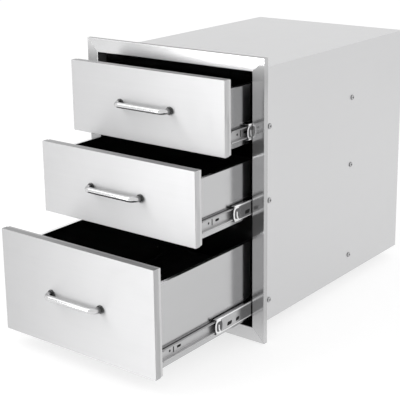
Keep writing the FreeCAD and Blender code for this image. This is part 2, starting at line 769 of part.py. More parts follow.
def drawer(name, front, front_z, lift, tray, slide_lift, opening):
    """Everything of one drawer, with the slide pieces that move with it."""
    face = f"closed_face - {opening}"
    behind = f"{face} + front_thickness"
    slide_z = f"{front_z} + {slide_lift}"
    grips = [(f"{side} * handle_centres / 2", f"{front} / 2") for side in SIDES.values()]
    corners = front_screw_places(front, lift, tray)
    handle_holes = [(across, up, "handle_hole") for across, up in grips]
    corner_holes = [(across, up, "screw_hole") for across, up in corners]

    front_pan(f"{name}_front_skin", "0", "skin_return", True, handle_holes, face, front, front_z)
    front_pan(
        f"{name}_front_liner",
        "front_sheet",
        "front_thickness - front_sheet",
        False,
        handle_holes + corner_holes,
        f"{face} + front_sheet",
        front,
        front_z,
    )
    tray_shell(name, tray, f"{slide_lift} - {lift}", behind, f"{front_z} + {lift}")
    inside = "tray_half - tray_sheet"
    wall_z = f"{front_z} + {lift} + tray_sheet"
    wall = f"{tray} - 2 * tray_sheet"
    wall_holes = [
        (across, f"{up} - {lift} - tray_sheet", radius) for across, up, radius in handle_holes + corner_holes
    ]
    tray_plate(f"{name}_drawer_tray_front", inside, wall, wall_holes, behind, wall_z)
    tray_plate(f"{name}_drawer_tray_back", inside, wall, [], f"{behind} + tray_depth - tray_sheet", wall_z)
    handle(name, face, f"{front_z} + {front} / 2")

    seat = value("front_thickness + tray_sheet")
    reach = seat + value("handle_screw_grip")
    thick = value("handle_screw")
    bolts = [pan_screw((value(across), seat, value(up)), (0, -1, 0), thick, reach) for across, up in grips]
    solids_node(f"{name}_handle_screws", bolts, y=face, z=front_z)

    length = value("drawer_screw_length")
    screws = [slide_screw((value(across), seat, value(up)), (0, -1, 0), length) for across, up in corners]
    for side in SIDES.values():
        for back in ("tray_screw_setback", "tray_screw_setback + tray_screw_spacing"):
            place_of = (
                side * value("tray_half + slide_sheet"),
                value(f"front_thickness + inner_setback + {back}"),
                value(slide_lift),
            )
            screws.append(slide_screw(place_of, (-side, 0, 0), length))
    solids_node(f"{name}_drawer_screws", screws, y=face, z=front_z)

    for side_name, side in SIDES.items():
        outer_member(name, side_name, side, slide_z)
        middle_member(name, side_name, side, opening, slide_z)
        inner_member(name, side_name, side, opening, slide_z)
    outer_row = "middle_height / 2 + race / 2"
    inner_row = "inner_height / 2 + race / 2"
    outer_line = "(outer_edge + slide_sheet + outer_web) / 2"
    inner_line = "(middle_edge + inner_reach) / 2"
    outer_strip = "outer_web - web_gap / 2"
    inner_strip = "(inner_reach + middle_web) / 2"
    cages(name, "outer", outer_strip, outer_line, outer_row, opening, slide_z)
    cages(name, "inner", inner_strip, inner_line, inner_row, opening, slide_z)


def write_parts():
    """Checks every object and writes each piece to its own file."""
    doc.recompute()
    for thing in doc.Objects:
        if {"Invalid", "Error"} & set(thing.State):
            raise RuntimeError(f"{thing.Label}: {thing.State}")
    for piece in nodes:
        if piece.Shape.isNull() or not piece.Shape.isValid():
            raise RuntimeError(f"{piece.Label}: the shape is not sound")
    os.makedirs("parts", exist_ok=True)
    for piece in nodes:
        piece.Shape.exportStep(f"parts/{piece.Label}.step")
    print(len(nodes), "nodes,", sum(len(piece.Shape.Solids) for piece in nodes), "solids")


fill_sheets()
face_frame()
for wall_name, wall_side in SIDES.items():
    cabinet_side(wall_name, wall_side)
cabinet_plate("cabinet_top", "cabinet_height - cabinet_sheet")
cabinet_plate("cabinet_bottom", "0")
cabinet_back()
wall_screws()
for drawer_name, drawer_sizes in DRAWERS.items():
    drawer(drawer_name, *drawer_sizes)
write_parts()
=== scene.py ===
"""Outdoor kitchen drawer unit: finishes, fine details and a photo studio around the CAD model."""

import json
import math
from functools import partial

import bpy
import numpy as np
from mathutils import Matrix, Vector


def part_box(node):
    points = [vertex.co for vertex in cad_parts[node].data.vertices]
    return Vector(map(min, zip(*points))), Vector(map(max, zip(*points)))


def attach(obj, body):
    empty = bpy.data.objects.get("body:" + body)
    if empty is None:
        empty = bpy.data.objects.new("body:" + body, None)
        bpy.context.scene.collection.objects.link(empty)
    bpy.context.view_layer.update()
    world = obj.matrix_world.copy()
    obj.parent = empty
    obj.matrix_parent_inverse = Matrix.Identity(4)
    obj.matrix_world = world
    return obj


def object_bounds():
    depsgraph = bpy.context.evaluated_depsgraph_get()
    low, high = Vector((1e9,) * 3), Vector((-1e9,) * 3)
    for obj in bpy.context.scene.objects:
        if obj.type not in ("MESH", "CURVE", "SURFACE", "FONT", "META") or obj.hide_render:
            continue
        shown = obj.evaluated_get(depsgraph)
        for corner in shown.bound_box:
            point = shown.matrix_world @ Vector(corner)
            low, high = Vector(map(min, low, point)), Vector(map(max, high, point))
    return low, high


bl_info = {
    "name": "Outdoor kitchen drawer unit",
    "version": (1, 0, 0),
    "blender": (4, 5, 0),
    "location": "3D View > Sidebar > Drawer unit",
    "description": "Steel finishes, slide noses, drawer mats and a studio for the drawer unit",
    "category": "Object",
}

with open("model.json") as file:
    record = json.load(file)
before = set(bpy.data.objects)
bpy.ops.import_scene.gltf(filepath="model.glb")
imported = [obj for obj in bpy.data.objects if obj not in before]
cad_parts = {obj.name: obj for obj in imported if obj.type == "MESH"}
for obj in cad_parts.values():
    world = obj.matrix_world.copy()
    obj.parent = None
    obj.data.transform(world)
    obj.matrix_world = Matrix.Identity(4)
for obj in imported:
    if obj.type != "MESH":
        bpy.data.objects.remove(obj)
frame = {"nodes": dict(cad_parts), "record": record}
CAD_LOW, CAD_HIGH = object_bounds()
NODES = frame["nodes"]
SLOT_OF = {part["node"]: part["material_slot"] for part in frame["record"]["subparts"]}

DRAWERS = ("top", "middle", "bottom")
SIDES = {"left": -1, "right": 1}

RIGHT = (1.0, 0.0, 0.0)
BACK = (0.0, 1.0, 0.0)
UP = (0.0, 0.0, 1.0)
BLACK = (0.0, 0.0, 0.0, 1.0)
WHITE = (1.0, 1.0, 1.0, 1.0)

# The photograph's camera: its place in metres, turns in degrees, lens and sensor in millimetres.
CAMERA_PLACE = (1.3576, -1.6693, 0.9186)
CAMERA_YAW = 37.81
CAMERA_PITCH = 15.04
CAMERA_ROLL = -0.71
CAMERA_LENS = 97.14
CAMERA_SENSOR = 36.0
CAMERA_SHIFT = -0.125
CAMERA_CLIP = (0.05, 60.0)

# Lamps that face the unit, by the setting of their power: name, place and side in metres. The
# pool lamp faces down, with its cone in degrees.
SOFT_BOXES = {
    "key": ("key_lamp", (-1.6, -1.5, 2.6), 2.2),
    "fill": ("fill_lamp", (2.2, 0.6, 1.6), 1.8),
    "front": ("front_panel", (-1.05, -2.2, 0.45), 0.9),
}
POOL_PLACE = (-0.1, -1.25, 1.4)
POOL_CONE = 66
POOL_SOFT = 0.2
FLOOR_HALF = 9.0
FLOOR_GAP = 0.0006

# Thickness of the trays and of the slide members.
SHEET = 0.001
SLIDE_SHEET = 0.0012

# Where the masks of the finishes and of painted shade fade in, from and to, in metres. The haze
# beside a mitre is measured down from the top of a stile, and the painted shade along the middle
# of a stile from its foot and its head. The painted shade on the fold of a front is measured
# along X, and that on the feet of a handle out from its front.
STILE_HAZE = (0.085, 0.035)
STILE_FOOT = (0.01, 0.07)
STILE_HEAD = (0.005, 0.05)
FOLD_ACROSS = (-0.2, 0.15)
HANDLE_FEET = (0.016, 0.005)

# How strong those masks are. HAZE_MOST makes a stile less metallic; the others paint shade: on
# the rails where they face up, along the stiles, and on a front's fold, which has one value on
# its left and one on its right.
HAZE_MOST = 0.7
RAIL_PAINTED_SHADE = 0.6
STILE_PAINTED_SHADE = {"left": 0.55, "right": 0.25}
FOLD_PAINTED_SHADE = (0.5, 0.8)

# Where the painted shade on a middle member's web starts at rest, along Y, and half its web
# between beads, each with half the width of its soft edge.
WEB_SHADE_FRONT, WEB_SHADE_FADE = -0.06, 0.012
WEB_HALF, WEB_FADE = 0.0121, 0.0005

# The bumper's bars: each arc in degrees from straight back, and its number of points. The rear
# bar stands back by a share of the bumper's half length, and its own halves are shares too.
FRONT_ARC = (68, 292, 44)
REAR_ARC = (165, 238, 18)
REAR_BACK = 0.75
REAR_LONG, REAR_HIGH = 0.8, 0.85
SQUARED = 0.7
INSERT_POINTS = 56
HOLE_SHADE_POINTS = 28
BAR_POINTS = 14

# The beads: their number of rings, where they start, in half lengths of the bumper, and how far
# their middle lies inside the member, in their own radius.
BEAD_RINGS = 24
BEAD_START = 0.5
BEAD_INSET = 0.9

# Factory holes: on which of a drawer's bodies they are, and where, in metres from the member's
# front end and middle, with half their length and height.
HOLES = {
    "inner": ("drawer", (
        (0.026, 0.0, 0.0024, 0.0024), (0.037, 0.0, 0.0014, 0.0069), (0.053, 0.0, 0.0059, 0.0024),
    )),
    "middle": ("slide_middles", (
        (0.046, -0.0047, 0.0088, 0.0037), (0.073, -0.0047, 0.0068, 0.0037),
    )),
}
HOLE_SHADE_DEPTH = 0.6 * SLIDE_SHEET

RIB_POINTS = 8


# Settings that a user would change


def length(name, words, metres):
    """A size in metres."""
    return bpy.props.FloatProperty(
        name=name, description=words, default=metres, min=0.0, precision=4,
        subtype="DISTANCE", unit="LENGTH",
    )


def colour(name, words, rgb):
    """A colour without transparency, as linear light."""
    return bpy.props.FloatVectorProperty(
        name=name, description=words, default=rgb, min=0.0, max=1.0, size=3, subtype="COLOR"
    )


def share(name, words, amount, most=1.0):
    """A plain number from nought upwards."""
    return bpy.props.FloatProperty(
        name=name, description=words, default=amount, min=0.0, max=most, subtype="FACTOR"
    )


def power(name, words, watts):
    """The power of a lamp in watts."""
    return bpy.props.FloatProperty(
        name=name, description=words, default=watts, min=0.0, subtype="POWER", unit="POWER"
    )


class SteelSettings(bpy.types.PropertyGroup):
    """Colours and gloss of the steel sheets."""

    front: colour("Fronts", "Brushed sheet of the drawer fronts", (0.63, 0.63, 0.635))
    rail: colour("Rails", "Brushed sheet of the face frame's rails", (0.63, 0.63, 0.635))
    stile: colour("Stiles", "Brushed sheet of the face frame's stiles", (0.66, 0.66, 0.665))
    cabinet: colour("Cabinet", "Plain sheet of the cabinet", (0.63, 0.63, 0.635))
    # The liners are painted paler than the cabinet's sheet, as painted light against the shade
    # behind the fronts.
    liner: colour("Liners", "Plain sheet behind the fronts", (0.76, 0.76, 0.765))
    tray: colour("Trays", "Plain sheet of the trays", (0.51, 0.51, 0.515))
    # Each front's tone is painted light: the one front colour made lighter or darker per drawer.
    tone: bpy.props.FloatVectorProperty(
        name="Tone", description="How pale each front is next to their colour, top to bottom",
        default=(1.04, 1.07, 0.94), min=0.0, max=1.5, size=3,
    )
    # Painted highlight: the trays are paler where they face up, along their top edges.
    flange_highlight: share("Flanges", "How pale the trays are where they face up", 1.7, 3.0)
    front_satin: share("Front metal", "How metallic the fronts are", 0.78)
    stile_satin: share("Stile metal", "How metallic the stiles are", 0.72)
    liner_satin: share("Liner metal", "How metallic the liners are", 0.4)
    front_gloss: share("Front roughness", "How far the fronts blur what they mirror", 0.52)
    rail_gloss: share("Rail roughness", "How far the rails blur what they mirror", 0.24)
    stile_gloss: share("Stile roughness", "How far the stiles blur what they mirror", 0.12)
    sheet_gloss: share("Sheet roughness", "How far the cabinet blurs what it mirrors", 0.34)
    tray_gloss: share("Tray roughness", "How far the trays blur what they mirror", 0.18)
    brushing: share("Brushing", "How much further the grain blurs across itself than along", 0.7)
    front_brushing: share("Front brushing", "The same for the fronts", 0.95)
    stile_brushing: share("Stile brushing", "The same for the stiles", 0.35)
    cabinet_brushing: share("Cabinet brushing", "The same for the cabinet", 0.2)


class SlideSettings(bpy.types.PropertyGroup):
    """The slide members, and the bumpers on the front ends of the middle ones."""

    zinc: colour("Zinc", "Plating of the outer and middle members", (0.47, 0.47, 0.475))
    inner: colour("Inner zinc", "Plating of the inner members", (0.56, 0.56, 0.565))
    # The bumper bars and the beads take this pale colour; on the beads it is a painted highlight.
    polished: colour("Polished races", "Beads and bumper bars", (0.92, 0.92, 0.925))
    balls: colour("Balls", "Balls and their cages", (0.78, 0.78, 0.79))
    gloss: share("Roughness", "How far the plating blurs what it mirrors", 0.17)
    inner_gloss: share("Inner roughness", "How far the inner members blur", 0.32)
    inner_metal: share("Inner metal", "How metallic the inner members are", 0.65)
    race_gloss: share("Race roughness", "How far the polished races blur", 0.3)
    ball_gloss: share("Ball roughness", "How far the balls blur what they mirror", 0.12)
    # Painted shade over the webs of the middle members near the cabinet.
    web_shade: share("Grease", "How dark the grease makes the webs of the middle members", 0.6)
    insert: colour("Insert", "Plastic of the bumper inside its ring", (0.22, 0.22, 0.225))
    # Near-black plates in the factory holes, painted shade where the holes show dark.
    hole_shade: colour("Plugs", "Plastic in the factory holes of the members", (0.012, 0.012, 0.012))
    bead: length("Bead", "Rolled bead along the edges of the middle members, across", 0.0038)
    nose_length: length("Nose length", "Bumper ring, front to back", 0.024)
    nose_height: length("Nose height", "Bumper ring, top to bottom", 0.0274)
    nose_bar: length("Nose bar", "Width of the ring's rounded bar", 0.0036)
    nose_proud: length("Nose height above the web", "How far the ring stands proud", 0.0008)


class HandleSettings(bpy.types.PropertyGroup):
    """The bow handles."""

    chrome: colour("Chrome", "Plating of the handles", (0.62, 0.62, 0.625))
    gloss: share("Roughness", "How far the chrome blurs what it mirrors", 0.08)
    # Painted shade on the feet, darkest where they meet the front.
    feet_shade: share("Dull feet", "How dark the feet grow where they meet the front", 0.8)


class ScrewSettings(bpy.types.PropertyGroup):
    """The screws."""

    zinc: colour("Zinc", "Plating of the screws", (0.45, 0.45, 0.455))
    gloss: share("Roughness", "How far the plating blurs what it mirrors", 0.26)


class MatSettings(bpy.types.PropertyGroup):
    """The ribbed mats that lie in the trays."""

    rubber: colour("Rubber", "Colour of the mats", (0.008, 0.008, 0.0085))
    thickness: length("Thickness", "Mat between its ribs", 0.0012)
    rib: length("Rib height", "How far the ribs stand up", 0.0008)
    pitch: length("Rib pitch", "From one rib to the next", 0.0085)
    gap: length("Gap", "Mat to the walls of its tray", 0.0015)


class StudioSettings(bpy.types.PropertyGroup):
    """Floor, background and lamps."""

    floor: colour("Floor", "Paint of the studio floor", (0.44, 0.44, 0.44))
    glow: share("Floor glow", "White that the floor adds where it is seen, also in metal", 0.67)
    ambient: share("Ambient", "Light from the whole room", 0.8, 4.0)
    key: power("Key lamp", "Large lamp above the left front", 16.0)
    fill: power("Fill lamp", "Lamp on the right", 5.0)
    front: power("Front panel", "Upright panel in front", 15.5)
    pool: power("Pool lamp", "Spot lamp over the floor in front", 22.0)


# Meshes


def mesh_piece(name, grids, smooth=True):
    """Makes one object from closed surfaces, each a grid of points.

    A grid has the shape (rings, around, 3). The quads join each point to the next one round its
    ring and to the same one on the next ring, and one flat face closes each end. If the volume
    inside the quads comes out negative, the faces are turned round.
    """
    points, faces, start = [], [], 0
    for grid in grids:
        rings, around = grid.shape[:2]
        numbers = np.arange(rings * around).reshape(rings, around)
        here, there = numbers[:-1], numbers[1:]
        quads = np.stack(
            [here, np.roll(here, -1, axis=1), np.roll(there, -1, axis=1), there], axis=-1
        ).reshape(-1, 4)
        flat = grid.reshape(-1, 3)
        corners = flat[quads]
        first = np.cross(corners[:, 1] - corners[:, 0], corners[:, 2] - corners[:, 0])
        second = np.cross(corners[:, 2] - corners[:, 0], corners[:, 3] - corners[:, 0])
        middle = flat.mean(axis=0)
        inside = ((corners[:, 0] - middle) * (first + second)).sum()
        rows = quads.tolist() + [numbers[0][::-1].tolist(), numbers[-1].tolist()]
        if inside < 0:
            rows = [row[::-1] for row in rows]
        faces += [[number + start for number in row] for row in rows]
        points.append(flat)
        start += len(flat)
    mesh = bpy.data.meshes.new(name)
    mesh.from_pydata(np.concatenate(points).tolist(), [], faces)
    mesh.polygons.foreach_set("use_smooth", np.full(len(mesh.polygons), smooth))
    mesh.validate()
    mesh.update()
    thing = bpy.data.objects.new(name, mesh)
    bpy.context.scene.collection.objects.link(thing)
    return thing


def extrusion(outline, start, end):
    """Two rings: an outline of (x, z) points stood at two places along Y."""
    rings = np.empty((2, len(outline), 3))
    rings[:, :, 0] = outline[:, 0]
    rings[:, :, 2] = outline[:, 1]
    rings[0, :, 1], rings[1, :, 1] = start, end
    return rings


def full_turn(points):
    """Angles once round, evenly spaced."""
    return np.linspace(0, 2 * math.pi, points, endpoint=False)


def arc(start, end, points):
    """Angles from one to another, given in degrees, evenly spaced."""
    return np.linspace(math.radians(start), math.radians(end), points)


def swept_bar(centre, normal, width, depth):
    """A rounded bar along a line in a slide's plane: at each point of centre stands an ellipse.

    Its point at the angle a lies width * cos(a) along normal and depth * sin(a) along X.
    """
    angle = full_turn(BAR_POINTS)[None, :, None]
    return (
        centre[:, None, :]
        + width * np.cos(angle) * normal[:, None, :]
        + depth * np.sin(angle) * np.asarray(RIGHT)[None, None, :]
    )


# Node helpers


def feed(tree, socket, what):
    """Joins an output to an input, or writes a plain value into it."""
    if isinstance(what, bpy.types.NodeSocket):
        tree.links.new(what, socket)
    else:
        socket.default_value = what


def math_node(tree, operation, *values, clamp=False):
    """A maths node on up to three values, which gives its result's socket."""
    node = tree.nodes.new("ShaderNodeMath")
    node.operation = operation
    node.use_clamp = clamp
    for socket, what in zip(node.inputs, values):
        feed(tree, socket, what)
    return node.outputs[0]


def times(tree, first, second, clamp=False):
    """The product of two values."""
    return math_node(tree, "MULTIPLY", first, second, clamp=clamp)


def times_plus(tree, first, second, more, clamp=False):
    """The product of two values, with a third added."""
    return math_node(tree, "MULTIPLY_ADD", first, second, more, clamp=clamp)


def vector_node(tree, operation, first, second):
    """A vector maths node on two vectors, which gives its result's socket."""
    node = tree.nodes.new("ShaderNodeVectorMath")
    node.operation = operation
    feed(tree, node.inputs[0], first)
    feed(tree, node.inputs[1], second)
    return node.outputs["Value" if operation == "DOT_PRODUCT" else "Vector"]


def blend(tree, amount, dark, light):
    """A colour between two others, as a socket."""
    node = tree.nodes.new("ShaderNodeMix")
    node.data_type = "RGBA"
    feed(tree, node.inputs["Factor"], amount)
    for name, what in (("A", dark), ("B", light)):
        socket = next(s for s in node.inputs if s.name == name and s.type == "RGBA")
        feed(tree, socket, what)
    return next(s for s in node.outputs if s.type == "RGBA")


def remap(tree, what, low, high, to_low=0.0, to_high=1.0, smooth=False):
    """Stretches a range of values to another one and holds it there."""
    node = tree.nodes.new("ShaderNodeMapRange")
    node.interpolation_type = "SMOOTHSTEP" if smooth else "LINEAR"
    for socket, value in zip(node.inputs, (what, low, high, to_low, to_high)):
        feed(tree, socket, value)
    return node.outputs[0]


def mask(tree, what, low, high):
    """A soft mask: nought where the value is at low, one where it is at high."""
    return remap(tree, what, low, high, smooth=True)


def from_noise(tree, what, to_low=0.0, to_high=1.0):
    """Stretches the middle of a noise, where most of it lies, to a range."""
    return remap(tree, what, 0.3, 0.7, to_low, to_high)


def noise(tree, where, scale, detail=3.0, roughness=0.5, distortion=0.0):
    """Soft noise from nought to one."""
    node = tree.nodes.new("ShaderNodeTexNoise")
    feed(tree, node.inputs["Vector"], where)
    for name, value in (
        ("Scale", scale), ("Detail", detail), ("Roughness", roughness), ("Distortion", distortion),
    ):
        feed(tree, node.inputs[name], value)
    return node.outputs["Fac"]


def object_place(tree):
    """A point's place on the object."""
    return tree.nodes.new("ShaderNodeTexCoord").outputs["Object"]


def facing(tree):
    """The way that the surface faces, without bumps."""
    return tree.nodes.new("ShaderNodeNewGeometry").outputs["Normal"]


def bevelled(tree, radius, samples):
    """The way that the surface would face if its edges were rounded."""
    node = tree.nodes.new("ShaderNodeBevel")
    node.samples = samples
    feed(tree, node.inputs["Radius"], radius)
    return node.outputs[0]


def seen_rays(tree):
    """One for rays from the camera and for those that metal or glass sends on."""
    path = tree.nodes.new("ShaderNodeLightPath").outputs
    seen = math_node(tree, "MAXIMUM", path["Is Camera Ray"], path["Is Glossy Ray"])
    return math_node(tree, "MAXIMUM", seen, path["Is Transmission Ray"])


# Effects that several finishes share

FLOAT = "NodeSocketFloat"
VECTOR = "NodeSocketVector"
GROUPS = {}

# How much a place is stretched for the grain, along the scratches and across them.
SCRATCH_LONG = 3.0
SCRATCH_FINE = 620.0
STRETCH = {
    axis: tuple(SCRATCH_LONG if axis == other else SCRATCH_FINE for other in "XYZ")
    for axis in "XYZ"
}
EDGE_RADIUS = 0.0007


def new_group(name, inputs, outputs, kind_out=FLOAT):
    """An empty shader node group with named sockets. Inputs are (name, kind, default)."""
    tree = bpy.data.node_groups.new(name, "ShaderNodeTree")
    for label, kind, value in inputs:
        socket = tree.interface.new_socket(label, in_out="INPUT", socket_type=kind)
        socket.default_value = value
    for label in outputs:
        tree.interface.new_socket(label, in_out="OUTPUT", socket_type=kind_out)
    GROUPS[name] = tree
    start = tree.nodes.new("NodeGroupInput")
    end = tree.nodes.new("NodeGroupOutput")
    return tree, start.outputs, end.inputs


def brushed_grain_group():
    """Brushed grain: noise whose place is pulled out along the brushing, fine and coarse."""
    tree, given, result = new_group(
        "brushed_grain",
        [("Stretch", VECTOR, STRETCH["X"]), ("Coarse", FLOAT, 0.14)],
        ("Streaks", "Lines"),
    )
    fine = vector_node(tree, "MULTIPLY", object_place(tree), given["Stretch"])
    coarse = vector_node(tree, "MULTIPLY", fine, given["Coarse"])
    feed(tree, result["Lines"], noise(tree, fine, 1.0, detail=2.0, roughness=0.6))
    feed(tree, result["Streaks"], noise(tree, coarse, 1.0, roughness=0.55))


def handling_group():
    """Handling: broad soft clouds, and the faint smears that a cloth leaves on a sheet."""
    tree, given, result = new_group(
        "handling", [("Size", FLOAT, 5.0), ("Shift", FLOAT, 0.0)], ("Clouds", "Smears")
    )
    moved = vector_node(tree, "ADD", object_place(tree), given["Shift"])
    clouds = noise(tree, moved, given["Size"], detail=2.0, roughness=0.45)
    bent = noise(tree, moved, times(tree, given["Size"], 3.4), detail=4.0, distortion=1.4)
    feed(tree, result["Clouds"], clouds)
    feed(tree, result["Smears"], mask(tree, bent, 0.45, 0.75))


def edge_wear_group():
    """Edge wear: how far the surface turns within a small radius, broken up by noise."""
    tree, given, result = new_group(
        "edge_wear", [("Radius", FLOAT, EDGE_RADIUS), ("Breaks", FLOAT, 260.0)], ("Edge",)
    )
    rounded = bevelled(tree, given["Radius"], samples=4)
    edge = mask(tree, vector_node(tree, "DOT_PRODUCT", rounded, facing(tree)), 0.98, 0.75)
    broken = from_noise(tree, noise(tree, object_place(tree), given["Breaks"]), 0.35)
    feed(tree, result["Edge"], times(tree, edge, broken, clamp=True))


def rolled_edges_group():
    """Rolled edges: the way that the surface would face if its sharp edges were rolled over."""
    tree, given, result = new_group(
        "rolled_edges", [("Radius", FLOAT, EDGE_RADIUS)], ("Facing",), VECTOR
    )
    feed(tree, result["Facing"], bevelled(tree, given["Radius"], samples=6))


def painted_crevice_shade_group():
    """Crevice shade: how far what stands within reach closes the surface in, for painted shade."""
    tree, given, result = new_group(
        "crevices", [("Reach", FLOAT, 0.006), ("Shut", FLOAT, 0.25)], ("Closed",)
    )
    around = tree.nodes.new("ShaderNodeAmbientOcclusion")
    around.samples = 8
    feed(tree, around.inputs["Distance"], given["Reach"])
    feed(tree, result["Closed"], mask(tree, around.outputs["AO"], 0.95, given["Shut"]))


def span_group():
    """Span: how far a point has got between two distances along a direction."""
    tree, given, result = new_group(
        "span", [("Direction", VECTOR, UP), ("From", FLOAT, 0.0), ("To", FLOAT, 1.0)], ("Share",)
    )
    along = vector_node(tree, "DOT_PRODUCT", object_place(tree), given["Direction"])
    feed(tree, result["Share"], mask(tree, along, given["From"], given["To"]))


def upward_group():
    """Upward: one where a surface faces up."""
    tree, _, result = new_group("upward", [], ("Up",))
    rise = vector_node(tree, "DOT_PRODUCT", facing(tree), UP)
    feed(tree, result["Up"], mask(tree, rise, 0.7, 0.95))


def plating_group():
    """Plating: fine orange peel with small dull spots."""
    tree, given, result = new_group("plating", [("Size", FLOAT, 900.0)], ("Peel", "Spots"))
    where = object_place(tree)
    spots = noise(tree, where, times(tree, given["Size"], 0.16), detail=4.0, roughness=0.6)
    feed(tree, result["Peel"], noise(tree, where, given["Size"], detail=2.0))
    feed(tree, result["Spots"], mask(tree, spots, 0.52, 0.72))


def make_groups():
    """Builds every shared effect once."""
    brushed_grain_group()
    handling_group()
    edge_wear_group()
    rolled_edges_group()
    painted_crevice_shade_group()
    span_group()
    upward_group()
    plating_group()


def use_group(tree, name, **values):
    """Places a shared effect in a material."""
    node = tree.nodes.new("ShaderNodeGroup")
    node.node_tree = GROUPS[name]
    for label, value in values.items():
        feed(tree, node.inputs[label], value)
    return node.outputs


def upward(tree, most=1.0):
    """A mask that is most where a sheet faces up."""
    return times(tree, use_group(tree, "upward")["Up"], most)


def span(tree, direction, start, end):
    """A mask from nought at one distance along a direction to one at another."""
    return use_group(tree, "span", Direction=direction, From=start, To=end)["Share"]


# Finishes

# Sheet steel: the part that streaks take in its grain, what grain, smears and worn edges add to
# its roughness, and the shades of its colour that they, clouds and painted crevice shade blend in.
STREAK_PART = 0.6
GRAIN_DARK, GRAIN_LIGHT, GRAIN_ROUGH = 0.018, 0.012, 0.05
CLOUD_MOST, CLOUD_SHADE = 0.1, 0.9
SHEET_CREVICE_SHADE = 0.2
SMEAR_ROUGH = 0.025
WORN_MOST, WORN_SHADE, WORN_ROUGH = 0.35, 1.15, -0.08

# Plating: the same for its spots, its masks and crevices of painted shade, and its rubbed edges.
SPOT_MOST, SPOT_SHADE, SPOT_ROUGH = 0.3, 0.8, 0.1
PAINTED_SHADE = 0.08
CREVICE_SHADE = 0.12
RUBBED_MOST, RUBBED_SHADE = 0.4, 1.12
TOUCHED_ROUGH = 0.05

DUST = (0.02, 0.02, 0.021, 1.0)
DUST_MOST = 0.35


def new_material(name):
    """A material with a Principled shader, and its node tree."""
    material = bpy.data.materials.new(name)
    material.use_nodes = True
    tree = material.node_tree
    return material, tree, tree.nodes["Principled BSDF"]


def shade(rgb, factor):
    """A colour made darker or lighter, opaque."""
    return tuple(min(1.0, part * factor) for part in rgb) + (1.0,)


def add_bump(tree, shader, height, strength, distance):
    """Turns a height into the shader's normal, on edges that are rolled over."""
    bump = tree.nodes.new("ShaderNodeBump")
    bump.inputs["Strength"].default_value = strength
    bump.inputs["Distance"].default_value = distance
    feed(tree, bump.inputs["Height"], height)
    feed(tree, bump.inputs["Normal"], use_group(tree, "rolled_edges")["Facing"])
    feed(tree, shader.inputs["Normal"], bump.outputs[0])


def brushed_steel(
    name, rgb, roughness, along, brushing, *, grain=1.0, wear=1.0, size=5.0, shift=0.0,
    satin=1.0, reach=0.003, crevice_shading=0.5, painted_light=None, painted_factor=0.12, haze=None,
):
    """Sheet steel with a grain along one axis, soft clouds, smears and bright edges.

    The scratches blur what the sheet mirrors mostly across themselves, so the longer side of
    the highlight stands square to the grain. Corners closed in within reach get painted shade.
    The painted light mask and haze are functions of the node tree that give masks: over the
    one the colour is multiplied by its factor, as painted shade below one and a painted
    highlight above one; over the other the sheet is less metallic.
    """
    material, tree, shader = new_material(name)
    shader.inputs["Metallic"].default_value = satin
    if haze:
        feed(tree, shader.inputs["Metallic"], times_plus(tree, haze(tree), -satin, satin))
    shader.inputs["Anisotropic"].default_value = brushing
    across = tree.nodes.new("ShaderNodeTangent")
    across.direction_type = "RADIAL"
    across.axis = along
    feed(tree, shader.inputs["Tangent"], across.outputs[0])
    lines = use_group(tree, "brushed_grain", Stretch=STRETCH[along])
    marks = use_group(tree, "handling", Size=size, Shift=shift)
    edge = use_group(tree, "edge_wear")["Edge"]
    closed = use_group(tree, "crevices", Reach=reach)["Closed"]
    streaks = times(tree, lines["Streaks"], STREAK_PART)
    mixed = times_plus(tree, lines["Lines"], 1 - STREAK_PART, streaks)
    paint = blend(
        tree, from_noise(tree, mixed),
        shade(rgb, 1 - GRAIN_DARK * grain), shade(rgb, 1 + GRAIN_LIGHT * grain),
    )
    clouds = from_noise(tree, marks["Clouds"], CLOUD_MOST, 0.0)
    paint = blend(tree, clouds, paint, shade(rgb, CLOUD_SHADE))
    # Painted light: the mask makes the colour darker as painted shade, or paler as a painted
    # highlight.
    if painted_light:
        paint = blend(tree, painted_light(tree), paint, shade(rgb, painted_factor))
    # Painted shade in crevices.
    paint = blend(tree, times(tree, closed, crevice_shading), paint, shade(rgb, SHEET_CREVICE_SHADE))
    paint = blend(tree, times(tree, edge, WORN_MOST * wear), paint, shade(rgb, WORN_SHADE))
    feed(tree, shader.inputs["Base Color"], paint)
    grain_rough = GRAIN_ROUGH * grain
    rough = times_plus(tree, mixed, grain_rough, roughness - grain_rough / 2)
    rough = times_plus(tree, marks["Smears"], SMEAR_ROUGH, rough)
    rough = times_plus(tree, edge, WORN_ROUGH, rough, clamp=True)
    feed(tree, shader.inputs["Roughness"], rough)
    add_bump(tree, shader, lines["Lines"], strength=0.15, distance=0.00002 * grain)
    return material


